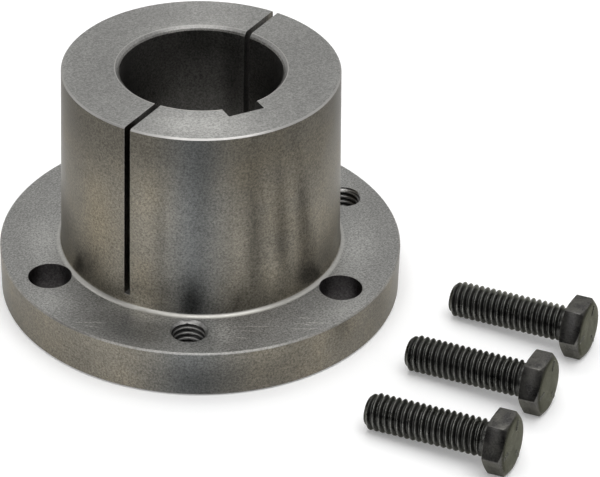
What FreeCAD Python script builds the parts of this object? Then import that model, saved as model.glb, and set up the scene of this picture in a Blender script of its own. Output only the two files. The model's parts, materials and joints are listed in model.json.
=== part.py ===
import FreeCAD, Part
import math
import os

# Barrel, which tapers away from the flange. Z = 0 is the flange's back face.
barrel_length = 50.8
barrel_large_diameter = 73.025
barrel_small_diameter = 70.26
barrel_end_chamfer = 0.4
barrel_foot_radius = 1.3

# Bore, with a keyway down its whole length
bore_diameter = 41.275
bore_chamfer = 1.0
keyway_width = 9.525
keyway_side_depth = 4.7625
keyway_bearing = -90.0

# Slit through both walls of the barrel, which stops short of the flange
slit_width = 1.65
slit_floor_height = 3.1
slit_side_step = 0.9
slit_from_keyway = -58.1

# Flange holes: clear ones for the clamping screws, and tapped ones between them to push off
clamp_hole_count = 3
jack_hole_count = 2
thread_diameter = 9.525
clamp_hole_clearance = 1.5875
clamp_hole_from_keyway = 30.0
jack_hole_from_keyway = -30.0
wall_from_barrel_to_hole = 0.79375

# Flange, which reaches a little beyond its holes
flange_thickness = 12.7
rim_beyond_holes = 3.96875
flange_front_chamfer = 0.4
flange_back_chamfer = 0.5

# Hexagon cap screw, threaded almost to the head
screw_length = 31.75
screw_thread_slack = 0.2
screw_neck_diameter = 8.4
screw_neck_length = 1.5
screw_neck_taper = 0.5
screw_point_diameter = 7.2
screw_point_length = 1.2
head_across_flats = 14.0
head_height = 5.7
head_crown_diameter = 13.3
head_crown_angle = 30.0
washer_face_diameter = 13.2
washer_face_thickness = 0.4

# Gaps from the flange's rim to the tips of the loose screws
right_screw_gap = 15.5
middle_screw_gap = 13.9
front_screw_gap = 23.6

# For each loose screw: its gap, the bearing of its tip from the bore, and where the tip points
loose_screws = (
    (right_screw_gap, -40.35, 124.8),
    (middle_screw_gap, -63.60, 125.5),
    (front_screw_gap, -83.55, 126.5),
)

bushing_length = flange_thickness + barrel_length
clamp_hole_diameter = thread_diameter + clamp_hole_clearance
bolt_circle_diameter = barrel_large_diameter + 2 * wall_from_barrel_to_hole + clamp_hole_diameter
flange_diameter = bolt_circle_diameter + clamp_hole_diameter + 2 * rim_beyond_holes
screw_thread_diameter = thread_diameter - screw_thread_slack
overcut = 5.0
same = 0.001

up = FreeCAD.Vector(0, 0, 1)
centre = FreeCAD.Vector(0, 0, 0)


# The outline is a list of (radius, height) corners, turned about Z into a solid.
def turned(outline):
    corners = [FreeCAD.Vector(radius, 0, height) for radius, height in outline]
    face = Part.Face(Part.makePolygon(corners + corners[:1]))
    return face.revolve(centre, up, 360)


# Round edges of one size at one height, on the axis or not.
def rims(shape, diameter, height):
    found = []
    for edge in shape.Edges:
        if not isinstance(edge.Curve, Part.Circle):
            continue
        same_size = abs(2 * edge.Curve.Radius - diameter) < same
        if same_size and abs(edge.Curve.Center.z - height) < same:
            found.append(edge)
    return found


# Flange, tapered barrel and plain bore, with every turned edge eased.
def turned_blank():
    bore = bore_diameter / 2
    blank = turned([
        (bore, 0),
        (flange_diameter / 2, 0),
        (flange_diameter / 2, flange_thickness),
        (barrel_large_diameter / 2, flange_thickness),
        (barrel_small_diameter / 2, bushing_length),
        (bore, bushing_length),
    ])
    foot = rims(blank, barrel_large_diameter, flange_thickness)
    blank = blank.makeFillet(barrel_foot_radius, foot)
    barrel_end = rims(blank, barrel_small_diameter, bushing_length)
    blank = blank.makeChamfer(barrel_end_chamfer, barrel_end)
    flange_front = rims(blank, flange_diameter, flange_thickness)
    blank = blank.makeChamfer(flange_front_chamfer, flange_front)
    blank = blank.makeChamfer(flange_back_chamfer, rims(blank, flange_diameter, 0))
    for height in (0, bushing_length):
        blank = blank.makeChamfer(bore_chamfer, rims(blank, bore_diameter, height))
    return blank


# Slot whose depth is measured at its side, where the key leaves the bore.
def keyway_cut():
    half_width = keyway_width / 2
    side = math.sqrt((bore_diameter / 2) ** 2 - half_width ** 2)
    slot = Part.makeBox(side + keyway_side_depth, keyway_width, bushing_length + 2 * overcut)
    slot.translate(FreeCAD.Vector(0, -half_width, -overcut))
    slot.rotate(centre, up, keyway_bearing)
    return slot


# Flat blade cut across the whole barrel, a little to one side of the axis.
def slit_cut():
    floor = flange_thickness + slit_floor_height
    blade = Part.makeBox(flange_diameter, slit_width, bushing_length - floor + overcut)
    blade.translate(FreeCAD.Vector(-flange_diameter / 2, slit_side_step - slit_width / 2, floor))
    blade.rotate(centre, up, keyway_bearing + slit_from_keyway)
    return blade


# Holes on the bolt circle, each as far from the last as the clamping holes are.
def flange_holes(diameter, from_keyway, count):
    cuts = []
    for index in range(count):
        hole = Part.makeCylinder(diameter / 2, flange_thickness + 2 * overcut)
        hole.translate(FreeCAD.Vector(bolt_circle_diameter / 2, 0, -overcut))
        bearing = keyway_bearing + from_keyway + index * 360 / clamp_hole_count
        hole.rotate(centre, up, bearing)
        cuts.append(hole)
    return cuts


def bushing_body():
    cuts = [keyway_cut(), slit_cut()]
    cuts += flange_holes(clamp_hole_diameter, clamp_hole_from_keyway, clamp_hole_count)
    cuts += flange_holes(thread_diameter, jack_hole_from_keyway, jack_hole_count)
    return turned_blank().cut(cuts)


# Hexagon with a coned crown, standing on a round washer face at Z = 0.
def screw_head():
    corner = head_across_flats / 2 / math.cos(math.radians(30))
    points = []
    for index in range(6):
        angle = math.radians(30 + 60 * index)
        points.append(FreeCAD.Vector(corner * math.cos(angle), corner * math.sin(angle), -head_height))
    hexagon = Part.Face(Part.makePolygon(points + points[:1]))
    hexagon = hexagon.extrude(up * (head_height - washer_face_thickness))
    crown = head_crown_diameter / 2
    drop = (corner - crown) * math.tan(math.radians(head_crown_angle))
    coned = turned([
        (0, -head_height),
        (crown, -head_height),
        (corner, drop - head_height),
        (corner, 0),
        (0, 0),
    ])
    washer_face = Part.makeCylinder(washer_face_diameter / 2, head_height / 2)
    washer_face.translate(-up * (head_height / 2))
    return hexagon.common(coned).fuse(washer_face)


def screw_shank():
    neck = screw_neck_diameter / 2
    thread = screw_thread_diameter / 2
    return turned([
        (0, -head_height / 2),
        (neck, -head_height / 2),
        (neck, screw_neck_length),
        (thread, screw_neck_length + screw_neck_taper),
        (thread, screw_length - screw_point_length),
        (screw_point_diameter / 2, screw_length),
        (0, screw_length),
    ])


# Screw at rest on Z = 0, on the edge of one head flat and the first thread at its tip.
def laid_screw(rim_gap, tip_bearing, heading):
    screw = screw_head().fuse(screw_shank()).removeSplitter()
    rise = (head_across_flats - screw_thread_diameter) / 2
    run = screw_length - screw_point_length + washer_face_thickness
    tilt = math.atan2(rise, run)
    height = head_across_flats / 2 * math.cos(tilt) - washer_face_thickness * math.sin(tilt)
    screw.rotate(centre, FreeCAD.Vector(0, 1, 0), 90 + math.degrees(tilt))
    screw.translate(FreeCAD.Vector(-screw_length * math.cos(tilt), 0, height))
    screw.rotate(centre, up, heading)
    reach = flange_diameter / 2 + rim_gap
    angle = math.radians(tip_bearing)
    screw.translate(FreeCAD.Vector(reach * math.cos(angle), reach * math.sin(angle), 0))
    return screw


pieces = {"bushing_body": bushing_body()}
for number, place in enumerate(loose_screws, start=1):
    pieces[f"cap_screw_{number}"] = laid_screw(*place)

os.makedirs("parts", exist_ok=True)
for name, shape in pieces.items():
    shape.exportStep(f"parts/{name}.step")
    box = shape.BoundBox
    print(name, shape.isValid(), len(shape.Solids), round(shape.Volume, 1), round(box.ZMin, 4), box)
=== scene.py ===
import json
import math
import bmesh
import bpy
from mathutils import Matrix, Vector


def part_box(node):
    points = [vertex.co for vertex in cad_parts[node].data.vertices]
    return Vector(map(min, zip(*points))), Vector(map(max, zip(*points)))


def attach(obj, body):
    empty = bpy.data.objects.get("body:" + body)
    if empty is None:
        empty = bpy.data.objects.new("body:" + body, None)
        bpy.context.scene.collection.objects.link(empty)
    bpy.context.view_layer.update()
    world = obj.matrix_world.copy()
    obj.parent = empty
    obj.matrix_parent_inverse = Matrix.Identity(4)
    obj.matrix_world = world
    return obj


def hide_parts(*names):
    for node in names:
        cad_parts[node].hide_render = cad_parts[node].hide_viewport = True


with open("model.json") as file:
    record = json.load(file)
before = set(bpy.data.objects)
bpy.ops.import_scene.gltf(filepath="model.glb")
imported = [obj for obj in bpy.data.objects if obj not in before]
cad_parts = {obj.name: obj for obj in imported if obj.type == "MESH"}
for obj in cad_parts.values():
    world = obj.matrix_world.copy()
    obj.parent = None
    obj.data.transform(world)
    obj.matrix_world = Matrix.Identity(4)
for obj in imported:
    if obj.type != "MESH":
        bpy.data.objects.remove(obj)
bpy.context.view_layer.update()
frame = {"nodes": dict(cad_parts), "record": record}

scene = bpy.context.scene
scene.view_settings.view_transform = "Standard"
mm = 0.001
stepWidth = 0.1               # mm over which one stretch of a surface turns into the next
edgeTurn = (0.985, 0.86)      # agreement of plain and rounded normal where an edge starts and is full
print("frame loaded:", sorted(frame["nodes"]))


# Short ways to put shader nodes together
def feed(tree, socket, value):
    if isinstance(value, bpy.types.NodeSocket):
        tree.links.new(value, socket)
    elif hasattr(value, "__len__") and len(value) == 3 and socket.type == "RGBA":
        socket.default_value = (*value, 1.0)
    else:
        socket.default_value = value


def add(tree, kind, inputs=None, **settings):
    made = tree.nodes.new("ShaderNode" + kind)
    for name, value in settings.items():
        setattr(made, name, value)
    for name, value in (inputs or {}).items():
        feed(tree, made.inputs[name], value)
    return made


def calc(tree, operation, first, second=0.0):
    return add(tree, "Math", {0: first, 1: second}, operation=operation).outputs[0]


def times(tree, *factors):
    product = factors[0]
    for factor in factors[1:]:
        product = calc(tree, "MULTIPLY", product, factor)
    return product


def plus(tree, *terms):
    total = terms[0]
    for term in terms[1:]:
        total = calc(tree, "ADD", total, term)
    return total


# How far a value is from a middle one, on either side of it
def apart(tree, value, middle):
    return calc(tree, "ABSOLUTE", calc(tree, "SUBTRACT", value, middle))


def noise(tree, vector, scale, detail, roughness):
    inputs = {"Vector": vector, "Scale": scale, "Detail": detail, "Roughness": roughness}
    return add(tree, "TexNoise", inputs).outputs["Fac"]


# Change from one value to another while the factor goes from low to high
def between(tree, factor, low, high, start=0.0, end=1.0, smooth=False):
    inputs = {"Value": factor, "From Min": low, "From Max": high, "To Min": start, "To Max": end}
    made = add(tree, "MapRange", inputs, clamp=True)
    made.interpolation_type = "SMOOTHSTEP" if smooth else "LINEAR"
    return made.outputs["Result"]


# The same change made at once, where the factor passes an edge
def past(tree, factor, edge, before=0.0, after=1.0):
    return between(tree, factor, edge, edge + stepWidth, before, after)


# 1 in the middle of a band, falling to 0 at its half width
def band(tree, factor, middle, halfWidth):
    return between(tree, apart(tree, factor, middle), 0.0, halfWidth, 1.0, 0.0, smooth=True)


# 1 over a stretch, which rises from 0 at its start and falls back to 0 at its end
def plateau(tree, factor, riseStart, riseEnd, fallStart, fallEnd):
    rise = between(tree, factor, riseStart, riseEnd)
    return times(tree, rise, between(tree, factor, fallStart, fallEnd, 1.0, 0.0))


# Factor of 1 that grows or shrinks by the change where the mask is 1
def changed(tree, mask, change):
    return plus(tree, times(tree, mask, change), 1.0)


def mixColour(tree, factor, first, second):
    return add(tree, "Mix", {0: factor, 6: first, 7: second}, data_type="RGBA").outputs[2]


# A colour or a place times a factor that may vary over the surface
def scaled(tree, vector, factor):
    return add(tree, "VectorMath", {0: vector, "Scale": factor}, operation="SCALE").outputs[0]


def partsOf(tree, vector):
    return add(tree, "SeparateXYZ", {0: vector}).outputs


def placeInMm(tree):
    return scaled(tree, add(tree, "TexCoord").outputs["Object"], 1 / mm)


# A length in mm that finishPiece keeps on a mesh: fromAxis or alongAxis
def kept(tree, name):
    return add(tree, "Attribute", attribute_name=name).outputs["Fac"]


# Normal that is rounded over the solid's edges, by a width in mm
def roundedNormal(tree, width):
    return add(tree, "Bevel", {"Radius": width * mm}, samples=6).outputs[0]


# 1 along an edge of the solid and 0 away from it
def edgeMask(tree, rounded):
    geometry = add(tree, "NewGeometry")
    facing = add(tree, "VectorMath", {0: rounded, 1: geometry.outputs["Normal"]}, operation="DOT_PRODUCT")
    return between(tree, facing.outputs["Value"], *edgeTurn)


# Normal of a surface with a fine relief, whose depth is in mm
def relieved(tree, height, depth, normal=None):
    inputs = {"Strength": 1.0, "Distance": depth * mm, "Height": height}
    if normal is not None:
        inputs["Normal"] = normal
    return add(tree, "Bump", inputs).outputs[0]


def newMaterial(name):
    material = bpy.data.materials.new(name)
    material.use_nodes = True
    material.node_tree.nodes.clear()
    return material, material.node_tree


def finishMaterial(tree, shader):
    output = add(tree, "OutputMaterial")
    tree.links.new(shader.outputs[0], output.inputs[0])


# Machined iron of the bushing. Lengths are in mm, bearings in degrees round the bore. Four values
# that stand for a change: from the third to the fourth, while what it follows goes from the first to
# the second. Three values at an edge: where it lies, what holds nearer the axis, and what beyond.
bushingIron = {
    "facedColour": (0.300, 0.298, 0.286),    # flange and barrel faces, square to the axis
    "turnedColour": (0.212, 0.196, 0.163),   # round sides, darker and browner
    "oliveStain": (0.258, 0.227, 0.170),
    # painted reflection: darker, cooler grey on the side facing the camera
    "paintedFrontReflection": (0.168, 0.173, 0.171),
    "boreColour": (0.20, 0.195, 0.185),
    # painted light on the slit's walls
    "slitWallLight": (0.42, 0.41, 0.395),
    # painted shade on the walls of the flange holes
    "holeWallShade": (0.14, 0.132, 0.132),
    "footHighlight": (0.49, 0.48, 0.45),        # painted highlight where the barrel meets the flange
    # painted highlight on the chamfers, brightest facing the camera
    "chamferHighlight": (0.47, 0.46, 0.445),
    # scratches and rubbed edges, also the painted highlights along edges and round the bore's mouth
    "wornEdgeAndHighlight": (0.46, 0.45, 0.43),
    "facedRoughness": 0.42,
    "turnedRoughness": 0.36,
    "grazingTint": (0.65, 0.65, 0.65),
    "lathePull": 0.7,                        # how far the tool lines draw out highlights, and which way
    "latheTurn": 0.25,

    # what is face, bore, hole, flange and slit: slopes, heights and distances from the axis
    "facedSlope": (0.5, 0.85),               # upright share of the normal on a side, and on a face
    "boreMouth": 21.7,                       # outside the bore is what lies further out than this
    "boreTop": 62.85,                        # or higher than this
    "boreReach": 30.0,                       # sides nearer the axis belong to the bore
    "flangeStart": 45.0,                     # sides further out belong to the flange
    "holeReach": (36.8, 36.9, 50.0, 50.1),   # the walls of the flange holes, which get painted shade, lie between the middle two
    "slitReach": (21.8, 26.0, 28.5, 32.5),   # painted light on the slit's walls, between the middle two
    "keywayBearing": 270.0,
    "keywayReach": (14.0, 15.0),             # degrees off it where the keyway ends and the slit may start

    # stains and shades
    "oliveBearing": (198.0, 14.0),           # middle and half width of the olive patch
    "oliveHeight": (33.0, 22.0),
    "frontReflectionBearing": (241.0, 20.0),            # middle and half width of the painted reflection, darker and cooler, on the side facing the camera
    "smallEndShade": (40.0, 62.0, 1.0, 0.55),
    "boreShade": (30.0, 46.0, 1.8, 0.9),     # the bore darkens towards its mouth
    "boreBackBearing": (60.85, 55.0),        # and more so at the back of it
    "boreBackHeight": (45.0, 58.0),
    "boreBackShade": -0.6,

    # painted highlights on lines and chamfers, and rubbed edges
    "lineBearing": 240.85,                   # painted highlights on lines and chamfers are brightest at this bearing, on the side facing the camera
    "lineFade": (45.0, 70.0, 1.0, 0.55),     # and fade over these degrees off it
    "footReach": (36.6, 36.7, 37.6, 37.8),   # the line at the barrel's foot, outward and upward
    "footHeight": (12.60, 12.65, 13.5, 13.8),
    "rimHighlight": (21.75, 0.22),                # painted highlight line round the bore's chamfer
    "chamferSlope": (0.7, 0.2),              # upright share of a chamfer's normal, and how far it may differ
    "boreChamfer": (22.0, 0.42, 1.0),        # share of the chamfer's painted highlight at the bore
    "rimChamfer": (50.0, 1.0, 0.25),         # and at the flange's rim
    "edgeWidth": 0.2,
    "edgeWear": (0.4, 0.6, 0.2, 0.6),

    # scale, detail and roughness of each noise, and what it does
    "toolLineNoise": (3.2, 3.0, 0.65),
    "broadLineNoise": (0.5, 2.0, 0.5),
    "grainNoise": (1.9, 4.0, 0.72),
    "fineGrainNoise": (5.5, 2.0, 0.6),
    "cloudNoise": (0.075, 4.0, 0.6),         # handling marks
    "latheStretch": 0.035,                   # how slowly tool lines change on their way round the axis
    "cloudStain": (0.45, 0.7, 0.0, 0.5),
    "grainTone": (0.36, 0.64, 0.62, 1.38),
    "fineGrainTone": (0.35, 0.65, 0.86, 1.14),
    "toolLineTone": (0.35, 0.65, 0.95, 1.05),
    "cloudTone": (0.35, 0.65, 0.94, 1.06),
    "endCalm": (36.0, 0.22, 0.0),            # share by which the tone is evener on the barrel's end
    "grainRoughness": (0.36, 0.64, -0.05, 0.05),
    "cloudRoughness": (0.35, 0.65, -0.03, 0.03),
    "reliefDepth": 0.02,
    "toolLineRelief": 0.5,                   # shares in the relief, where the grain has 1
    "broadLineRelief": 0.6,

    # runs of oil and wear down the barrel, with painted reflections of the flange and its holes near the
    # foot and painted shade near the top: bearing, half width, middle height, half height, change
    "barrelRunsAndReflections": (
        (264.8, 4.0, 35.0, 30.0, -0.28),
        (277.3, 4.0, 35.0, 28.0, -0.22),
        (289.3, 5.0, 35.0, 30.0, -0.20),
        (227.8, 3.5, 35.0, 26.0, -0.12),
        (243.8, 7.0, 35.0, 40.0, -0.14),
        (220.8, 6.0, 34.0, 28.0, 0.16),
        (231.8, 3.0, 34.0, 24.0, 0.10),
        (258.8, 4.0, 34.0, 26.0, 0.12),
        (271.8, 4.0, 34.0, 26.0, 0.12),
        (282.8, 4.0, 34.0, 26.0, 0.12),
        (298.0, 6.0, 30.0, 26.0, 0.08),
        # painted shade towards the small end
        (245.0, 12.0, 50.0, 20.0, -0.20),
        (261.0, 10.0, 48.0, 18.0, -0.24),
        (297.0, 12.0, 47.0, 16.0, -0.26),
        # painted reflections of the flange's face and its holes, near the foot
        (277.0, 16.0, 21.0, 13.0, 0.60),
        (209.0, 14.0, 18.0, 13.0, 0.60),
        (220.0, 9.0, 14.5, 4.5, 0.70),
        (318.0, 10.0, 17.0, 7.0, 0.40),
        (186.0, 5.0, 17.0, 5.0, -0.50),
        (240.0, 7.5, 18.0, 11.0, -0.60),
        (188.0, 26.0, 45.0, 24.0, -0.12),
        (231.0, 5.0, 20.0, 4.0, -0.20),
        (259.0, 5.0, 17.0, 5.0, -0.30),
    ),
    # the same five values for painted light and shade on the flange's side, darkest facing the camera, and
    # for a darker band on the bore wall beside the slit
    "flangeLightAndShade": (
        (244.5, 22.0, 4.0, 12.0, -0.46),
        (265.0, 18.0, 4.0, 12.0, -0.22),
        (219.0, 10.0, 6.0, 12.0, 0.14),
        (302.0, 22.0, 6.0, 7.0, -0.10),
        (240.0, 130.0, 6.0, 7.0, -0.10),
    ),
    # a darker band on the bore wall beside the slit
    "boreDarkBands": (
        (41.0, 13.0, 50.0, 30.0, -0.42),
    ),
    # patches of painted light and shade on the faces, brightest towards the camera and to the sides of it,
    # and a darker smudge on the flange: bearing, half width, distance from the axis, half distance, change
    "faceLightShadeAndSmudge": (
        (241.0, 36.0, 28.0, 10.0, 0.34),
        (90.0, 50.0, 28.0, 10.0, -0.10),
        (220.0, 19.0, 47.0, 8.0, -0.36),
        (222.0, 26.0, 38.0, 4.5, 0.50),
        (245.0, 12.0, 50.0, 5.0, 0.20),
        (250.5, 8.0, 43.0, 9.0, 0.40),
        (192.0, 14.0, 48.0, 7.0, 0.30),
        (292.0, 16.0, 49.0, 7.0, 0.30),
        (160.0, 38.0, 40.0, 9.0, 0.36),
        (322.0, 38.0, 40.0, 9.0, 0.36),
    ),
    # light scratches on the flange's face: where each starts and ends
    "scratches": (
        ((-10.7, -40.1), (-0.4, -45.4)),
        ((-10.7, -42.3), (-4.8, -45.2)),
        ((-13.5, -43.7), (-9.3, -46.5)),
        ((2.8, -45.1), (8.3, -49.1)),
        ((1.0, -47.1), (8.1, -50.5)),
        ((4.8, -43.5), (8.5, -45.7)),
        ((5.0, -45.9), (11.5, -49.6)),
        ((-45.9, -21.1), (-37.2, -25.3)),
        ((-44.2, -23.3), (-40.6, -26.1)),
    ),
    "scratchWidth": 0.3,
    "scratchEnds": (0.4, 1.0, 1.0, 0.0),     # from the middle to either end, as shares of half its length
    "scratchStrength": 1.0,
}


# Factor that follows a list of runs or patches, each set by its bearing and its height or distance
def patchTone(tree, bearing, place, patches):
    factors = []
    for middle, halfWidth, spot, halfReach, change in patches:
        where = times(tree, band(tree, bearing, middle, halfWidth), band(tree, place, spot, halfReach))
        factors.append(changed(tree, where, change))
    return times(tree, *factors)


# 1 along a straight scratch, fading to its sides and its ends
def scratchMask(tree, place, start, end):
    look = bushingIron
    middle = ((start[0] + end[0]) / 2, (start[1] + end[1]) / 2, 0.0)
    heading = math.atan2(end[1] - start[1], end[0] - start[0])
    size = (math.dist(start, end) / 2, look["scratchWidth"], 1.0)
    inputs = {"Vector": place, "Location": middle, "Rotation": (0.0, 0.0, heading), "Scale": size}
    parts = partsOf(tree, add(tree, "Mapping", inputs, vector_type="TEXTURE").outputs[0])
    ends = between(tree, calc(tree, "ABSOLUTE", parts[0]), *look["scratchEnds"])
    return times(tree, ends, band(tree, parts[1], 0.0, 1.0))


# What the look of a spot on the bushing follows
def whereOnBushing(tree):
    look = bushingIron
    place = placeInMm(tree)
    x, y, z = partsOf(tree, place)
    flat = add(tree, "CombineXYZ", {0: x, 1: y}).outputs[0]
    radius = add(tree, "VectorMath", {0: flat}, operation="LENGTH").outputs["Value"]
    bearing = times(tree, calc(tree, "ARCTAN2", y, x), 180 / math.pi)
    bearing = calc(tree, "FLOORED_MODULO", bearing, 360.0)

    # tool lines run round the axis: they change with the height on sides, with the radius on faces
    stretch = look["latheStretch"]
    inputs = {0: times(tree, x, stretch), 1: times(tree, y, stretch), 2: plus(tree, z, radius)}
    lathePlace = add(tree, "CombineXYZ", inputs).outputs[0]

    outside = calc(tree, "MAXIMUM", past(tree, radius, look["boreMouth"]), past(tree, z, look["boreTop"]))
    upright = calc(tree, "ABSOLUTE", partsOf(tree, add(tree, "TexCoord").outputs["Normal"])[2])
    faced = times(tree, between(tree, upright, *look["facedSlope"], smooth=True), outside)
    return {"place": place, "lathePlace": lathePlace, "height": z, "radius": radius,
            "bearing": bearing, "outsideBore": outside, "faced": faced}


def ironTexture(tree, spot):
    look = bushingIron
    return {
        "toolLines": noise(tree, spot["lathePlace"], *look["toolLineNoise"]),
        "broadLines": noise(tree, spot["lathePlace"], *look["broadLineNoise"]),
        "grain": noise(tree, spot["place"], *look["grainNoise"]),
        "fineGrain": noise(tree, spot["place"], *look["fineGrainNoise"]),
        "clouds": noise(tree, spot["place"], *look["cloudNoise"]),
    }


# painted shade in the bore: lighter deep down, darker towards its mouth and more so at its back
def boreWall(tree, spot):
    look = bushingIron
    atBack = times(tree, band(tree, spot["bearing"], *look["boreBackBearing"]),
                   between(tree, spot["height"], *look["boreBackHeight"]))
    tone = times(tree, between(tree, spot["height"], *look["boreShade"]),
                 changed(tree, atBack, look["boreBackShade"]),
                 patchTone(tree, spot["bearing"], spot["height"], look["boreDarkBands"]))
    return scaled(tree, look["boreColour"], tone)


# Barrel and flange sides with stains, runs, painted reflections and painted shade, then the hole walls and
# the bore with painted shade and the slit's walls with painted light
def sideColour(tree, spot, clouds):
    look = bushingIron
    bearing = spot["bearing"]
    height = spot["height"]
    radius = spot["radius"]
    stained = between(tree, clouds, *look["cloudStain"])
    side = mixColour(tree, stained, look["turnedColour"], look["oliveStain"])
    olive = times(tree, band(tree, bearing, *look["oliveBearing"]), band(tree, height, *look["oliveHeight"]))
    side = mixColour(tree, olive, side, look["oliveStain"])
    # painted reflection, darker and cooler, on the side facing the camera
    side = mixColour(tree, band(tree, bearing, *look["frontReflectionBearing"]), side, look["paintedFrontReflection"])
    # runs, with painted reflections near the foot and painted shade near the top, and painted light and
    # shade on the flange's side
    barrelTone = times(tree, between(tree, height, *look["smallEndShade"], smooth=True),
                       patchTone(tree, bearing, height, look["barrelRunsAndReflections"]))
    flangeTone = patchTone(tree, bearing, height, look["flangeLightAndShade"])
    side = scaled(tree, side, past(tree, radius, look["flangeStart"], barrelTone, flangeTone))

    # painted shade on the walls of the flange holes
    side = mixColour(tree, plateau(tree, radius, *look["holeReach"]), side, look["holeWallShade"])
    side = mixColour(tree, past(tree, radius, look["boreReach"]), boreWall(tree, spot), side)
    # painted light on the slit's walls, away from the keyway
    offKeyway = between(tree, apart(tree, bearing, look["keywayBearing"]), *look["keywayReach"])
    slitWall = times(tree, plateau(tree, radius, *look["slitReach"]), offKeyway)
    return mixColour(tree, slitWall, side, look["slitWallLight"])


# Faces with patches of painted light and shade, a darker smudge and scratches
def faceColour(tree, spot):
    look = bushingIron
    tone = patchTone(tree, spot["bearing"], spot["radius"], look["faceLightShadeAndSmudge"])
    scratched = 0.0
    for start, end in look["scratches"]:
        scratched = calc(tree, "MAXIMUM", scratched, scratchMask(tree, spot["place"], start, end))
    scratched = times(tree, scratched, look["scratchStrength"])
    return mixColour(tree, scratched, scaled(tree, look["facedColour"], tone), look["wornEdgeAndHighlight"])


def grainTone(tree, spot, texture):
    look = bushingIron
    tone = times(tree, between(tree, texture["grain"], *look["grainTone"]),
                 between(tree, texture["fineGrain"], *look["fineGrainTone"]),
                 between(tree, texture["toolLines"], *look["toolLineTone"]),
                 between(tree, texture["clouds"], *look["cloudTone"]))
    calm = times(tree, spot["faced"], past(tree, spot["radius"], *look["endCalm"]))
    return plus(tree, times(tree, tone, calc(tree, "SUBTRACT", 1.0, calm)), calm)


# Adds painted highlights: the line at the barrel's foot, the line round the bore's mouth and the chamfers;
# and the rubbed edges, lighter by wear and painted as highlights
def brightened(tree, base, spot, grain, rounded):
    look = bushingIron
    radius = spot["radius"]
    frontShare = between(tree, apart(tree, spot["bearing"], look["lineBearing"]), *look["lineFade"])
    foot = times(tree, plateau(tree, radius, *look["footReach"]),
                 plateau(tree, spot["height"], *look["footHeight"]))
    # painted highlight along the barrel's foot
    base = mixColour(tree, times(tree, foot, frontShare), base, look["footHighlight"])

    # rubbed edges, lighter by wear and as painted highlights, and the painted highlight round the bore's
    # mouth
    worn = times(tree, edgeMask(tree, rounded), between(tree, grain, *look["edgeWear"]))
    rim = times(tree, band(tree, radius, *look["rimHighlight"]), spot["faced"])
    base = mixColour(tree, calc(tree, "MAXIMUM", worn, rim), base, look["wornEdgeAndHighlight"])

    trueNormal = add(tree, "NewGeometry").outputs["True Normal"]
    upright = calc(tree, "ABSOLUTE", partsOf(tree, trueNormal)[2])
    # painted highlight on the chamfers
    chamfer = times(tree, band(tree, upright, *look["chamferSlope"]),
                    past(tree, radius, *look["rimChamfer"]), past(tree, radius, *look["boreChamfer"]),
                    spot["outsideBore"], frontShare, calc(tree, "SUBTRACT", 1.0, foot))
    return mixColour(tree, chamfer, base, look["chamferHighlight"])


def makeBushingIron():
    look = bushingIron
    material, tree = newMaterial("machinedIron")
    spot = whereOnBushing(tree)
    texture = ironTexture(tree, spot)
    grain = texture["grain"]
    clouds = texture["clouds"]
    rounded = roundedNormal(tree, look["edgeWidth"])
    base = mixColour(tree, spot["faced"], sideColour(tree, spot, clouds), faceColour(tree, spot))
    base = scaled(tree, base, grainTone(tree, spot, texture))
    base = brightened(tree, base, spot, grain, rounded)

    dull = between(tree, spot["faced"], 0.0, 1.0, look["turnedRoughness"], look["facedRoughness"])
    dull = plus(tree, dull, between(tree, grain, *look["grainRoughness"]),
                between(tree, clouds, *look["cloudRoughness"]))
    relief = plus(tree, times(tree, texture["toolLines"], look["toolLineRelief"]), grain,
                  times(tree, texture["broadLines"], look["broadLineRelief"]))
    turning = add(tree, "Tangent", direction_type="RADIAL", axis="Z").outputs[0]
    finishMaterial(tree, add(tree, "BsdfPrincipled", {
        "Base Color": base, "Metallic": 1.0, "Roughness": dull,
        "Normal": relieved(tree, relief, look["reliefDepth"], rounded),
        "Anisotropic": look["lathePull"], "Anisotropic Rotation": look["latheTurn"], "Tangent": turning,
        "Specular Tint": look["grazingTint"]}))
    return material


ironMaterial = makeBushingIron()
bushing = frame["nodes"]["bushing_body"]
if not bushing.material_slots:
    bushing.data.materials.append(ironMaterial)
for materialSlot in bushing.material_slots:
    materialSlot.material = ironMaterial
print("bushing body finished in machined iron")


def newPoint(mesh, radius, bearing, height):
    return mesh.verts.new((radius * math.cos(bearing), radius * math.sin(bearing), height))


# Grid that winds up the Z axis as a thread: one column per bearing, one row per profile point.
# A profile point holds a step along the pitch and a depth from the crest to the root.
def threadGrid(mesh, bearings, profile, pitch, low, high, radiusAt):
    perTurn = len(profile)
    first = math.floor(low / pitch) - 2    # turns to spare at both ends, for trimmedLoop to cut away
    last = math.ceil(high / pitch) + 2
    columns = []
    for bearing in bearings:
        column = []
        for row in range((last - first) * perTurn):
            step, depth = profile[row % perTurn]
            height = pitch * (first + row // perTurn + step + bearing / (2 * math.pi))
            column.append(newPoint(mesh, radiusAt(depth, height), bearing, height))
        columns.append(column)
    count = len(bearings)
    for index in range(count):
        here = columns[index]
        there = columns[(index + 1) % count]
        shift = perTurn if index == count - 1 else 0    # the last column meets the first a turn on
        for row in range(len(here) - 1 - shift):
            mesh.faces.new((here[row], there[row + shift], there[row + shift + 1], here[row + 1]))


# Cuts the mesh square across at a height and gives the cut's points in order round the axis
def trimmedLoop(mesh, height, keepAbove):
    parts = mesh.verts[:] + mesh.edges[:] + mesh.faces[:]
    cut = bmesh.ops.bisect_plane(mesh, geom=parts, dist=1e-7, plane_co=(0, 0, height), plane_no=(0, 0, 1),
                                 clear_inner=keepAbove, clear_outer=not keepAbove)
    points = {item for item in cut["geom_cut"] if isinstance(item, bmesh.types.BMVert)}
    return sorted(points, key=lambda point: math.atan2(point.co.y, point.co.x))


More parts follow.
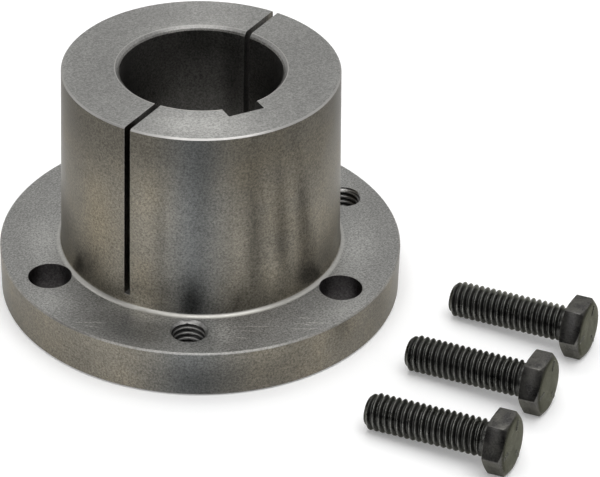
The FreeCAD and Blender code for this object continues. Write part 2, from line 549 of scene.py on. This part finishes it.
# New ring of points at the same bearings as the loop, joined to it by a band of faces
def growRing(mesh, loop, ringAt):
    ring = []
    for point in loop:
        bearing = math.atan2(point.co.y, point.co.x)
        radius, height = ringAt(bearing)
        ring.append(newPoint(mesh, radius, bearing, height))
    for index in range(len(loop)):
        after = (index + 1) % len(loop)
        mesh.faces.new((loop[index], loop[after], ring[after], ring[index]))
    return ring


def ringEdges(ring):
    found = []
    for index in range(len(ring)):
        after = ring[(index + 1) % len(ring)]
        for edge in ring[index].link_edges:
            if edge.other_vert(ring[index]) is after:
                found.append(edge)
    return found


# Turns a mesh in mm about its own Z axis into a piece of the scene at the given place, with its
# sharp turns kept crisp. Its material can still ask how far a spot is from and along that axis.
def finishPiece(mesh, name, place, material, crease=32.0):
    fromAxis = mesh.verts.layers.float.new("fromAxis")
    alongAxis = mesh.verts.layers.float.new("alongAxis")
    for point in mesh.verts:
        point[fromAxis] = point.co.xy.length
        point[alongAxis] = point.co.z
    bmesh.ops.recalc_face_normals(mesh, faces=mesh.faces[:])
    for face in mesh.faces:
        face.smooth = True
    for edge in mesh.edges:
        if len(edge.link_faces) == 2 and edge.calc_face_angle(0.0) > math.radians(crease):
            edge.smooth = False
    mesh.transform(place @ Matrix.Scale(mm, 4))
    data = bpy.data.meshes.new(name)
    mesh.to_mesh(data)
    mesh.free()
    data.materials.append(material)
    piece = bpy.data.objects.new(name, data)
    scene.collection.objects.link(piece)
    return piece


# Threads in the tapped flange holes, in mm. Their places and sizes come from the frame's record.
tappedHole = {
    "pitch": 1.5875,
    "crestDepth": 0.74,            # how far the crests stand in from the hole's wall
    "rootDepth": 0.0175,
    "sleeveDepth": 0.0275,         # the sleeve lies this much inside the iron round the hole
    "faceGap": 0.006,
    "columns": 72,
    "profile": ((0.0, 0.04), (0.03, 0.0), (0.20, 0.0), (0.23, 0.04), (0.40, 0.5), (0.565, 0.96),
                (0.60, 1.0), (0.665, 1.0), (0.70, 0.96), (0.85, 0.5)),
}

tappedIron = {
    # painted shade on the flanks down in the hole, which leaves the crests as light lines
    "crestColour": (0.30, 0.295, 0.285),
    "flankShade": (0.035, 0.034, 0.033),
    "mouthColour": (0.33, 0.325, 0.315),     # countersink, freshly cut
    "mouthDepth": (0.80, 0.70),              # depths where its colour starts and where it is full
    "crestReach": (0.05, 0.3),               # mm out from the crest, over which its light ends
    "grainNoise": (2.4, 3.0, 0.7),
    "grainTone": (0.35, 0.65, 0.75, 1.25),
    "roughness": 0.4,
    "reliefDepth": 0.015,
}


def makeTappedIron(crestRadius, middle):
    look = tappedIron
    material, tree = newMaterial("tappedIron")
    place = placeInMm(tree)
    grain = noise(tree, place, *look["grainNoise"])
    deep, shallow = look["mouthDepth"]
    offMiddle = apart(tree, partsOf(tree, place)[2], middle)
    mouth = between(tree, offMiddle, middle - deep, middle - shallow)
    offCrest = calc(tree, "SUBTRACT", kept(tree, "fromAxis"), crestRadius)
    crest = between(tree, offCrest, *look["crestReach"], 1.0, 0.0)
    # painted shade on the flanks, lighter crests
    base = mixColour(tree, crest, look["flankShade"], look["crestColour"])
    base = mixColour(tree, mouth, base, look["mouthColour"])
    base = scaled(tree, base, between(tree, grain, *look["grainTone"]))
    finishMaterial(tree, add(tree, "BsdfPrincipled", {
        "Base Color": base, "Metallic": 1.0, "Roughness": look["roughness"],
        "Normal": relieved(tree, grain, look["reliefDepth"])}))
    return material


def makeTappedThread(mount, material):
    hole = tappedHole
    holeRadius = mount["dims"]["r_mm"]
    bottom = hole["faceGap"]
    top = mount["dims"]["length_mm"] - hole["faceGap"]
    wall = holeRadius - hole["faceGap"]
    crest = holeRadius - hole["crestDepth"]
    depth = hole["crestDepth"] - hole["rootDepth"]
    sleeve = holeRadius + hole["sleeveDepth"]

    def radiusAt(profileDepth, height):
        if not bottom <= height <= top:
            return wall
        countersink = wall - min(top - height, height - bottom)
        return max(crest + depth * profileDepth, countersink)

    mesh = bmesh.new()
    bearings = [2 * math.pi * index / hole["columns"] for index in range(hole["columns"])]
    threadGrid(mesh, bearings, hole["profile"], hole["pitch"], bottom, top, radiusAt)
    lowLoop = trimmedLoop(mesh, bottom, True)
    highLoop = trimmedLoop(mesh, top, False)
    lowRing = growRing(mesh, lowLoop, lambda angle: (sleeve, bottom))
    highRing = growRing(mesh, highLoop, lambda angle: (sleeve, top))
    bmesh.ops.bridge_loops(mesh, edges=ringEdges(lowRing) + ringEdges(highRing))
    x, y = mount["pos_m"][:2]
    place = Matrix.Translation((x, y, 0.0)) @ Matrix.Rotation(math.atan2(y, x), 4, "Z")
    piece = finishPiece(mesh, mount["name"] + "Thread", place, material)
    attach(piece, "root")


tappedMounts = [mount for mount in frame["record"]["mounts"] if mount["kind"] == "threaded_hole"]
tappedSize = tappedMounts[0]["dims"]
tappedMaterial = makeTappedIron(tappedSize["r_mm"] - tappedHole["crestDepth"], tappedSize["length_mm"] / 2)
for mount in tappedMounts:
    makeTappedThread(mount, tappedMaterial)
print("threads cut in the tapped holes")


# Black oxide cap screws, drawn with the head below Z = 0 and the thread above it, in mm
capScrew = {
    "length": 31.75,
    "pitch": 1.5875,
    "majorRadius": 4.6625,
    "minorRadius": 3.70,
    "neckRadius": 4.2,
    "neckLength": 0.9,
    "fadeLength": 1.7,             # over which the thread rises out of the neck
    "pointRadius": 3.6,
    "pointLength": 1.2,
    "acrossFlats": 14.0,
    "cornerRounding": 0.3,
    "headHeight": 5.7,
    "crownRadius": 6.45,
    "crownAngle": 30.0,
    "washerRadius": 6.6,
    "washerThickness": 0.4,
    "underAngle": 12.0,            # slope of the cone that trims the corners under the head
    "markSize": (2.7, 0.8),        # raised strength marks on the crown
    "markReach": 4.9,
    "markHeight": 0.1,
    "markSink": 0.3,               # how far they reach into the head
    # small roundings, as steps away from the axis and towards the thread
    "neckFillet": ((0.0, 0.35), (0.06, 0.12), (0.3, 0.0)),
    "washerEdge": ((-0.08, 0.0), (0.0, -0.08)),
    "underEdge": ((-0.06, 0.02), (0.0, -0.1)),
    "sideEdge": ((0.0, 0.14), (-0.08, 0.01)),
    "crownEdge": (0.3, 0.05, 0.4),     # where the rounding starts, its lift half way, and where it ends
    "crownRings": (0.6, 0.25),         # inner rings of the flat crown, as shares of its radius
    "columns": 72,
    "cornerColumns": (-1.1, -0.55, 0.55, 1.1),    # extra columns, by their degrees off each corner
    "profile": ((0.0, 0.05), (0.03, 0.0), (0.095, 0.0), (0.125, 0.05), (0.30, 0.5), (0.455, 0.92),
                (0.495, 0.985), (0.5625, 1.0), (0.63, 0.985), (0.67, 0.92), (0.825, 0.5)),
    # gap from the flange to the tip, bearing of the tip from the bore, and where the tip points
    "places": ((15.5, -40.35, 124.8), (13.9, -63.60, 125.5), (23.6, -83.55, 126.5)),
}

screwFinish = {
    "grooveColour": (0.060, 0.060, 0.057),
    # lighter crests, by wear and as painted highlights
    "crestColour": (0.19, 0.19, 0.178),
    "flatColour": (0.075, 0.073, 0.072),
    "flatTint": (0.120, 0.117, 0.108),
    "markColour": (0.015, 0.015, 0.014),
    "crownColour": (0.042, 0.042, 0.033),
    "rubbed": (0.34, 0.335, 0.32),
    "roughness": 0.30,
    "grazingTint": (0.68, 0.68, 0.62),
    "sideFlatShade": -0.55,            # painted shade on the flats that face up to one side
    "sideSlope": (0.5, 0.4),       # upright share of their normal, and how far it may differ
    "crownFade": (0.15, 0.6),      # mm in from the crown, over which its colour ends
    "markTop": (-0.07, -0.03),     # mm out from it if negative, over which the marks' colour ends
    "crestReach": (-0.35, -0.02),  # mm in from the crest if negative, over which its light grows
    "edgeWidth": 0.18,
    "threadEdges": 0.15,           # share of the rubbed edges on the thread
    "patchNoise": (0.35, 3.0, 0.55),
    "grainNoise": (2.6, 4.0, 0.7),
    "wearNoise": (1.1, 2.0, 0.5),
    "flatPatches": (0.35, 0.65),
    "patchRoughness": (0.35, 0.65, -0.05, 0.07),
    "crestWear": (0.4, 0.6, 0.45, 1.0),
    "edgeWear": (0.4, 0.65, 0.2, 0.9),
    "grainTone": (0.36, 0.64, 0.7, 1.35),
    "reliefDepth": 0.02,
}


# Place of the flat crown along the screw; the marks make up the rest of the head's height
def crownPlace():
    return capScrew["markHeight"] - capScrew["headHeight"]


# Flats in patches, with painted shade on those that face up to one side, a slightly olive crown and its
# marks
def headColour(tree, patches, alongAxis):
    look = screwFinish
    patched = between(tree, patches, *look["flatPatches"])
    head = mixColour(tree, patched, look["flatColour"], look["flatTint"])
    faceUp = partsOf(tree, add(tree, "NewGeometry").outputs["Normal"])[2]
    head = scaled(tree, head, changed(tree, band(tree, faceUp, *look["sideSlope"]), look["sideFlatShade"]))
    offCrown = calc(tree, "SUBTRACT", alongAxis, crownPlace())
    onCrown = between(tree, offCrown, *look["crownFade"], 1.0, 0.0, smooth=True)
    head = mixColour(tree, onCrown, head, look["crownColour"])
    onMark = between(tree, offCrown, *look["markTop"], 1.0, 0.0)
    return mixColour(tree, onMark, head, look["markColour"])


def threadColour(tree, place):
    look = screwFinish
    offCrest = calc(tree, "SUBTRACT", kept(tree, "fromAxis"), capScrew["majorRadius"])
    wear = noise(tree, place, *look["wearNoise"])
    # painted highlights and wear along the crests
    lit = times(tree, between(tree, offCrest, *look["crestReach"], smooth=True),
                between(tree, wear, *look["crestWear"]))
    return mixColour(tree, lit, look["grooveColour"], look["crestColour"])


def makeBlackOxide():
    look = screwFinish
    material, tree = newMaterial("blackOxide")
    place = placeInMm(tree)
    alongAxis = kept(tree, "alongAxis")
    grain = noise(tree, place, *look["grainNoise"])
    patches = noise(tree, place, *look["patchNoise"])
    head = headColour(tree, patches, alongAxis)
    base = mixColour(tree, past(tree, alongAxis, 0.0), head, threadColour(tree, place))
    rounded = roundedNormal(tree, look["edgeWidth"])
    worn = times(tree, edgeMask(tree, rounded), between(tree, grain, *look["edgeWear"]),
                 past(tree, alongAxis, 0.0, 1.0, look["threadEdges"]))
    base = mixColour(tree, worn, base, look["rubbed"])
    base = scaled(tree, base, between(tree, grain, *look["grainTone"]))
    dull = plus(tree, look["roughness"], between(tree, patches, *look["patchRoughness"]))
    finishMaterial(tree, add(tree, "BsdfPrincipled", {
        "Base Color": base, "Metallic": 1.0, "Roughness": dull,
        "Normal": relieved(tree, grain, look["reliefDepth"], rounded),
        "Specular Tint": look["grazingTint"]}))
    return material


# Distance from the axis to the hexagon's outline, whose corners are a little rounded
def hexagonRadius(bearing):
    flats = capScrew["acrossFlats"]
    rounding = capScrew["cornerRounding"]
    toCorner = (math.degrees(bearing) - 30.0) % 60.0
    toCorner = math.radians(min(toCorner, 60.0 - toCorner))
    centre = (flats / 2 - rounding) / math.cos(math.radians(30))
    tangent = math.atan2(rounding / 2, centre + rounding * math.cos(math.radians(30)))
    if toCorner < tangent:
        return centre * math.cos(toCorner) + math.sqrt(rounding ** 2 - (centre * math.sin(toCorner)) ** 2)
    return flats / 2 / math.cos(math.radians(30) - toCorner)


# Neck, washer face and head, ring by ring up to the crown, and the marks on it
def growHead(mesh, loop):
    screw = capScrew
    neck = screw["neckRadius"]
    washer = screw["washerRadius"]
    underStart = -screw["washerThickness"] / 2    # the cone starts half way up the washer face
    crownRadius = screw["crownRadius"]
    crown = crownPlace()
    cone = math.tan(math.radians(screw["crownAngle"]))
    slope = math.tan(math.radians(screw["underAngle"]))

    def underside(angle, out, up):
        radius = hexagonRadius(angle)
        return radius + out, underStart - (radius - washer) * slope + up

    def crownSide(angle, out, up):
        radius = hexagonRadius(angle)
        return radius + out, crown + (radius - crownRadius) * cone + up

    for out, up in screw["neckFillet"]:
        loop = growRing(mesh, loop, lambda angle: (neck + out, up))
    for out, up in screw["washerEdge"]:
        loop = growRing(mesh, loop, lambda angle: (washer + out, up))
    loop = growRing(mesh, loop, lambda angle: (washer, underStart))
    for out, up in screw["underEdge"]:
        loop = growRing(mesh, loop, lambda angle: underside(angle, out, up))
    for out, up in screw["sideEdge"]:
        loop = growRing(mesh, loop, lambda angle: crownSide(angle, out, up))
    outer, lift, inner = screw["crownEdge"]
    rings = [(crownRadius + outer, crown + outer * cone), (crownRadius, crown + lift),
             (crownRadius - inner, crown)]
    rings += [(crownRadius * share, crown) for share in screw["crownRings"]]
    for ring in rings:
        loop = growRing(mesh, loop, lambda angle: ring)
    mesh.faces.new(loop)

    length, width = screw["markSize"]
    markMiddle = crown + (screw["markSink"] - screw["markHeight"]) / 2
    spot = Matrix.Translation((screw["markReach"], 0, markMiddle))
    size = Matrix.Diagonal((length, width, screw["markHeight"] + screw["markSink"], 1.0))
    for mark in range(3):
        turn = Matrix.Rotation(math.radians(120 * mark + 90), 4, "Z")
        bmesh.ops.create_cube(mesh, size=1.0, matrix=turn @ spot @ size)


# Where a screw lies: on the edge of one head flat and on the first thread at its tip
def restingPlace(gap, tipBearing, heading):
    screw = capScrew
    low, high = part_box("bushing_body")
    flangeRadius = (high[0] - low[0]) / 2 / mm
    rise = screw["acrossFlats"] / 2 - screw["majorRadius"]
    run = screw["length"] - screw["pointLength"] + screw["washerThickness"]
    tilt = math.atan2(rise, run)
    height = screw["acrossFlats"] / 2 * math.cos(tilt) - screw["washerThickness"] * math.sin(tilt)
    reach = (flangeRadius + gap) * mm
    angle = math.radians(tipBearing)
    place = Matrix.Translation((reach * math.cos(angle), reach * math.sin(angle), 0))
    place = place @ Matrix.Rotation(math.radians(heading), 4, "Z")
    place = place @ Matrix.Translation((-screw["length"] * mm * math.cos(tilt), 0, height * mm))
    return place @ Matrix.Rotation(math.pi / 2 + tilt, 4, "Y")


def makeCapScrew(number, place, material):
    screw = capScrew
    depth = screw["majorRadius"] - screw["minorRadius"]
    pointSlope = (screw["majorRadius"] - screw["pointRadius"]) / screw["pointLength"]

    def radiusAt(profileDepth, height):
        thread = screw["majorRadius"] - depth * profileDepth
        rise = min(1.0, max(0.0, (height - screw["neckLength"]) / screw["fadeLength"]))
        rise = rise * rise * (3 - 2 * rise)    # eased at both ends
        thread = screw["neckRadius"] + (thread - screw["neckRadius"]) * rise
        return min(thread, screw["pointRadius"] + max(0.0, screw["length"] - height) * pointSlope)

    bearings = [2 * math.pi * index / screw["columns"] for index in range(screw["columns"])]
    for corner in range(6):
        for aside in screw["cornerColumns"]:
            bearings.append(math.radians(30 + 60 * corner + aside))
    mesh = bmesh.new()
    threadGrid(mesh, sorted(bearings), screw["profile"], screw["pitch"], 0.0, screw["length"], radiusAt)
    neckLoop = trimmedLoop(mesh, screw["neckLength"], True)
    tipLoop = trimmedLoop(mesh, screw["length"], False)
    mesh.faces.new(tipLoop)
    growHead(mesh, neckLoop)
    piece = finishPiece(mesh, f"capScrew{number}", place, material)
    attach(piece, "root")
    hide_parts(f"cap_screw_{number}")


oxideMaterial = makeBlackOxide()
for number, (gap, tipBearing, heading) in enumerate(capScrew["places"], start=1):
    makeCapScrew(number, restingPlace(gap, tipBearing, heading), oxideMaterial)
print("cap screws laid out")


# Pale floor, plain room and soft lamps. Lengths are in metres.
studio = {
    "floorRadius": 4.0,
    "floorDrop": 0.0001,
    "floorColour": (0.90, 0.90, 0.90),
    "floorLift": 0.16,                 # glow that brings the pale floor up to white where it is seen
    "roomColour": (1.0, 1.0, 1.0),
    "roomLevel": 0.12,                 # the studio behind the camera is dim
    "backdropBearing": 60.85,          # the bright backdrop stands behind the bushing
    "backdropLevel": 0.88,
    "backdropFade": (-0.55, 0.45),     # from opposite the backdrop, at -1, to straight at it, at 1
    "ceilingLevel": 0.7,
    "ceilingFade": (0.3, 1.0),         # from level, at 0, to straight up, at 1
    "middle": (0.01, -0.02, 0.03),
    # bearing and height of each lamp in degrees, its distance, width, depth and brightness
    "lamps": {
        "frontSoftbox": (257.0, 70.0, 0.9, 0.8, 0.5, 3.5),
        "backSoftbox": (61.0, 70.0, 0.9, 1.0, 0.45, 1.6),
        "leftSoftbox": (201.0, 32.0, 1.1, 0.6, 0.45, 2.1),
        "rightSoftbox": (296.0, 32.0, 1.1, 0.6, 0.45, 0.6),
    },
}


# 1 for rays that see a surface straight, in a mirror image or through glass
def seenOrMirrored(tree):
    path = add(tree, "LightPath")
    straight = calc(tree, "MAXIMUM", path.outputs["Is Camera Ray"], path.outputs["Is Glossy Ray"])
    return calc(tree, "MAXIMUM", straight, path.outputs["Is Transmission Ray"])


def makeFloor():
    material, tree = newMaterial("paleFloor")
    paper = add(tree, "BsdfDiffuse", {"Color": studio["floorColour"]})
    lift = add(tree, "Emission", {"Strength": times(tree, seenOrMirrored(tree), studio["floorLift"])})
    finishMaterial(tree, add(tree, "AddShader", {0: paper.outputs[0], 1: lift.outputs[0]}))
    mesh = bmesh.new()
    bmesh.ops.create_circle(mesh, cap_ends=True, segments=96, radius=studio["floorRadius"])
    data = bpy.data.meshes.new("floor")
    mesh.to_mesh(data)
    mesh.free()
    data.materials.append(material)
    floor = bpy.data.objects.new("floor", data)
    floor.location.z = -studio["floorDrop"]
    scene.collection.objects.link(floor)


def makeRoom():
    world = bpy.data.worlds.new("studio")
    scene.world = world
    world.use_nodes = True
    tree = world.node_tree
    tree.nodes.clear()
    x, y, z = partsOf(tree, add(tree, "TexCoord").outputs["Generated"])
    turn = math.radians(studio["backdropBearing"])
    behind = plus(tree, times(tree, x, math.cos(turn)), times(tree, y, math.sin(turn)))
    level = between(tree, behind, *studio["backdropFade"], studio["roomLevel"], studio["backdropLevel"],
                    smooth=True)
    level = times(tree, level, between(tree, z, *studio["ceilingFade"], 1.0, studio["ceilingLevel"]))
    room = add(tree, "Background", {"Color": studio["roomColour"], "Strength": level})
    output = add(tree, "OutputWorld")
    tree.links.new(room.outputs[0], output.inputs[0])


def aimedAt(position, target):
    facing = (Vector(target) - Vector(position)).to_track_quat("-Z", "Y")
    return Matrix.Translation(position) @ facing.to_matrix().to_4x4()


# Unit vector towards a bearing about Z and a height above the floor, both in degrees
def towards(bearing, height):
    turn = math.radians(bearing)
    lift = math.radians(height)
    return Vector((math.cos(turn) * math.cos(lift), math.sin(turn) * math.cos(lift), math.sin(lift)))


def makeLamps():
    middle = Vector(studio["middle"])
    for name, (bearing, height, distance, width, depth, brightness) in studio["lamps"].items():
        data = bpy.data.lights.new(name, "AREA")
        data.shape = "RECTANGLE"
        data.size = width
        data.size_y = depth
        data.energy = brightness * math.pi * width * depth
        lamp = bpy.data.objects.new(name, data)
        lamp.matrix_world = aimedAt(middle + towards(bearing, height) * distance, middle)
        scene.collection.objects.link(lamp)


makeFloor()
makeRoom()
makeLamps()
print("studio ready")


# Camera at the photograph's angle: lengths in metres, angles in degrees, lens and sensor in mm
photoCamera = {
    "aim": (0.02356, -0.0112, 0.0115),
    "distance": 0.62,
    "bearing": 240.85,
    "height": 33.748,
    "roll": 1.83,
    "lens": 141.2,
    "sensorWidth": 36.0,
}


def makeCamera():
    view = photoCamera
    data = bpy.data.cameras.new("photoCamera")
    data.lens = view["lens"]
    data.sensor_width = view["sensorWidth"]
    camera = bpy.data.objects.new("photoCamera", data)
    aim = Vector(view["aim"])
    position = aim + towards(view["bearing"], view["height"]) * view["distance"]
    camera.matrix_world = aimedAt(position, aim) @ Matrix.Rotation(math.radians(view["roll"]), 4, "Z")
    scene.collection.objects.link(camera)
    scene.camera = camera


makeCamera()
print("camera placed")
